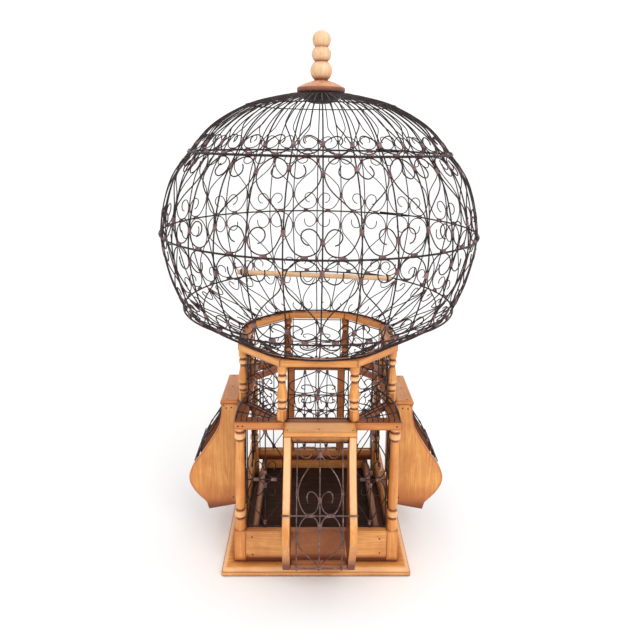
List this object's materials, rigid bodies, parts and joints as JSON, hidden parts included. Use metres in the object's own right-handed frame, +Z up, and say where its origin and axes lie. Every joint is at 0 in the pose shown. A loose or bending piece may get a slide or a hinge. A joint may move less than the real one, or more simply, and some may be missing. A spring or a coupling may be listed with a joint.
{
  "type": "bird cage",
  "caption": "Standing bird cage with a scrolled wire dome over a turned-wood drum and a square room with three bowed hatches",
  "frame": {"origin": "centre of the base board's underside, on the surface it stands on", "axes": "+Z up, -Y is the front with the front hatch, +X is the right-hand side seen from the front; scene units in metres"},
  "size_m": [0.5281, 0.5282, 0.86],
  "materials": {
    "honey_wood": "honey-orange varnished pine, satin, worn darker at edges",
    "pale_wood": "pale turned pine, worn dull",
    "cap_wood": "red-brown stained turned wood",
    "tray_wood": "dark stained board, dull",
    "dark_wire": "aged dark iron wire, brown-black with rust bloom",
    "clip_metal": "aged crimped sleeves, mauve-brown"
  },
  "bodies": {
    "cage": {"back_grille": "dark_wire", "back_left_post": "honey_wood", "back_rail": "honey_wood", "back_right_post": "honey_wood", "back_wall": "honey_wood", "base_board": "honey_wood", "cap": "cap_wood", "collar_ring": "dark_wire", "corner_braces": "honey_wood", "corner_grilles": "dark_wire", "crown_hub": "dark_wire", "crown_ribs": "dark_wire", "crown_ring": "dark_wire", "door_pivots": "dark_wire", "drum_grilles": "dark_wire", "drum_post_1": "honey_wood", "drum_post_2": "honey_wood", "drum_post_3": "honey_wood", "drum_post_4": "honey_wood", "drum_post_5": "honey_wood", "drum_post_6": "honey_wood", "drum_post_7": "honey_wood", "drum_post_8": "honey_wood", "drum_top_frame": "honey_wood", "equator_ring": "dark_wire", "ferrules": "clip_metal", "finial": "pale_wood", "foot_ribs": "dark_wire", "foot_ring": "dark_wire", "front_hatch_cheeks": "honey_wood", "front_hatch_sill": "honey_wood", "front_hatch_top": "honey_wood", "front_left_post": "honey_wood", "front_rail": "honey_wood", "front_right_post": "honey_wood", "front_wall": "honey_wood", "left_hatch_cheeks": "honey_wood", "left_hatch_sill": "honey_wood", "left_hatch_top": "honey_wood", "left_rail": "honey_wood", "left_wall": "honey_wood", "lower_hearts": "dark_wire", "lower_ribs": "dark_wire", "lower_ring": "dark_wire", "narrow_grilles": "dark_wire", "perch": "pale_wood", "perch_hooks": "dark_wire", "right_hatch_cheeks": "honey_wood", "right_hatch_sill": "honey_wood", "right_hatch_top": "honey_wood", "right_rail": "honey_wood", "right_wall": "honey_wood", "shoulder_ring": "dark_wire", "upper_hearts": "dark_wire", "upper_ribs": "dark_wire"},
    "front_door": {"front_door": "dark_wire"},
    "left_door": {"left_door": "dark_wire"},
    "right_door": {"right_door": "dark_wire"},
    "tray": {"floor_tray": "tray_wood", "tray_knob": "honey_wood"}
  },
  "joints": [
    {"name": "front_door_hinge", "type": "hinge", "parent": "cage", "child": "front_door", "pos_m": [0.003, -0.168, 0.237], "axis": [-1, 0, 0], "range_deg": [0, 100]},
    {"name": "left_door_hinge", "type": "hinge", "parent": "cage", "child": "left_door", "pos_m": [-0.163, 0, 0.237], "axis": [0, 1, 0], "range_deg": [0, 100]},
    {"name": "right_door_hinge", "type": "hinge", "parent": "cage", "child": "right_door", "pos_m": [0.163, 0, 0.237], "axis": [0, -1, 0], "range_deg": [0, 100]},
    {"name": "tray_slide", "type": "slide", "parent": "cage", "child": "tray", "axis": [0, 1, 0], "range_m": [0, 0.2]}
  ]
}
